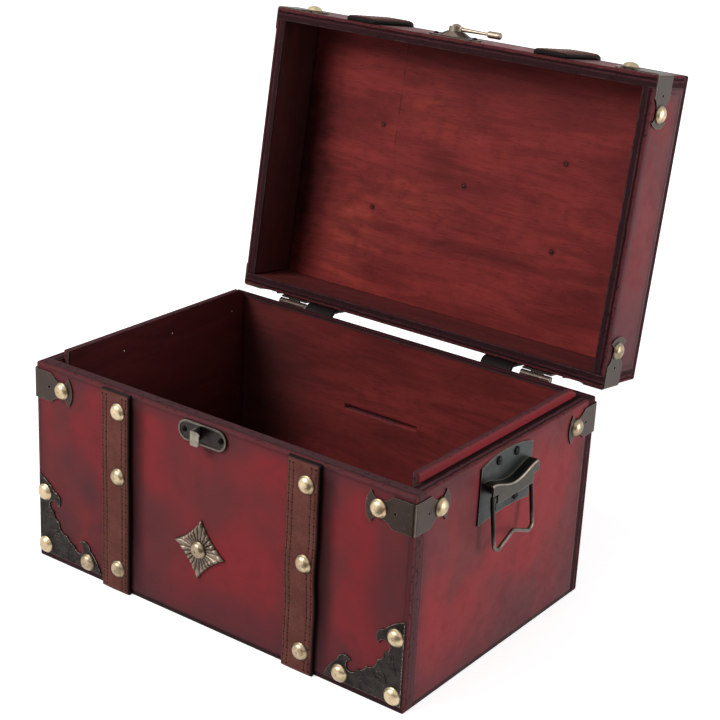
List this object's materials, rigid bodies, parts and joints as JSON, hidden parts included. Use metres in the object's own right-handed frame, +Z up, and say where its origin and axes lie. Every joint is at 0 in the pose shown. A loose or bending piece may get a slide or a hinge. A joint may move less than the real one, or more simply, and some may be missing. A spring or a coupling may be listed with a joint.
{
  "type": "wooden money box",
  "caption": "Trunk-shaped wooden money box with a hinged lid leaning open, leather straps, domed nails, metal corners, drop handles, a swing latch and a coin slot in its back wall",
  "frame": {"origin": "middle of the underside, on the surface the box stands on", "axes": "+X to the right seen from the front, +Y to the back where the hinges are, +Z up"},
  "size_m": [0.2898, 0.2669, 0.3146],
  "materials": {
    "stained_wood": "plywood stained dark red, satin lacquer, darkened edges",
    "strap_leather": "brown leather with two rows of stitching",
    "stud_brass": "polished antique brass",
    "aged_brass": "dark patina with worn highlights",
    "handle_bronze": "blackened bronze plating, rubbed bright on its edges",
    "dark_bronze": "antique bronze plating"
  },
  "bodies": {
    "base": {"base_front": "stained_wood", "base_back": "stained_wood", "base_left_end": "stained_wood", "base_right_end": "stained_wood", "base_floor": "stained_wood", "lip_left": "stained_wood", "lip_right": "stained_wood", "strap_front_left": "strap_leather", "strap_front_right": "strap_leather", "strap_back_left": "strap_leather", "strap_back_right": "strap_leather", "strap_fold_left": "strap_leather", "strap_fold_right": "strap_leather", "bracket_front_left": "dark_bronze", "bracket_front_right": "dark_bronze", "bracket_back_left": "dark_bronze", "bracket_back_right": "dark_bronze", "corner_plate_left": "dark_bronze", "corner_plate_right": "dark_bronze", "base_studs": "stud_brass", "rosette": "aged_brass", "catch": "dark_bronze", "base_screws": "dark_bronze", "handle_plate_left": "handle_bronze", "handle_plate_right": "handle_bronze", "hinge_base_left": "dark_bronze", "hinge_base_right": "dark_bronze", "hinge_pins": "dark_bronze"},
    "lid": {"lid_front": "stained_wood", "lid_back": "stained_wood", "lid_left_end": "stained_wood", "lid_right_end": "stained_wood", "lid_top_panel": "stained_wood", "lid_strap_left": "strap_leather", "lid_strap_right": "strap_leather", "lid_bracket_front_left": "dark_bronze", "lid_bracket_front_right": "dark_bronze", "lid_bracket_back_left": "dark_bronze", "lid_bracket_back_right": "dark_bronze", "lid_plate_front_left": "dark_bronze", "lid_plate_front_right": "dark_bronze", "lid_plate_back_left": "dark_bronze", "lid_plate_back_right": "dark_bronze", "lid_studs": "stud_brass", "lid_rosette": "aged_brass", "latch_plate": "aged_brass", "latch_rivet": "aged_brass", "lid_screws": "dark_bronze", "hinge_lid_left": "dark_bronze", "hinge_lid_right": "dark_bronze"},
    "latch_arm": {"latch_arm": "aged_brass"},
    "bail_left": {"bail_left": "handle_bronze"},
    "bail_right": {"bail_right": "handle_bronze"}
  },
  "joints": [
    {"name": "lid_hinge", "type": "hinge", "parent": "base", "child": "lid", "pos_m": [0, 0.0943, 0.125], "axis": [1, 0, 0], "range_deg": [0, 98.5], "deforming": ["strap_fold_left", "strap_fold_right"]},
    {"name": "latch_swing", "type": "hinge", "parent": "lid", "child": "latch_arm", "pos_m": [-0.0053, 0.13309, 0.31151], "axis": [0, -0.1478, -0.989], "range_deg": [-90, 90]},
    {"name": "bail_right_swing", "type": "hinge", "parent": "base", "child": "bail_right", "pos_m": [0.14, -0.0062, 0.1045], "axis": [0, -1, 0], "range_deg": [-7, 93]},
    {"name": "bail_left_swing", "type": "hinge", "parent": "base", "child": "bail_left", "pos_m": [-0.14, -0.0062, 0.1045], "axis": [0, 1, 0], "range_deg": [-7, 93]}
  ]
}
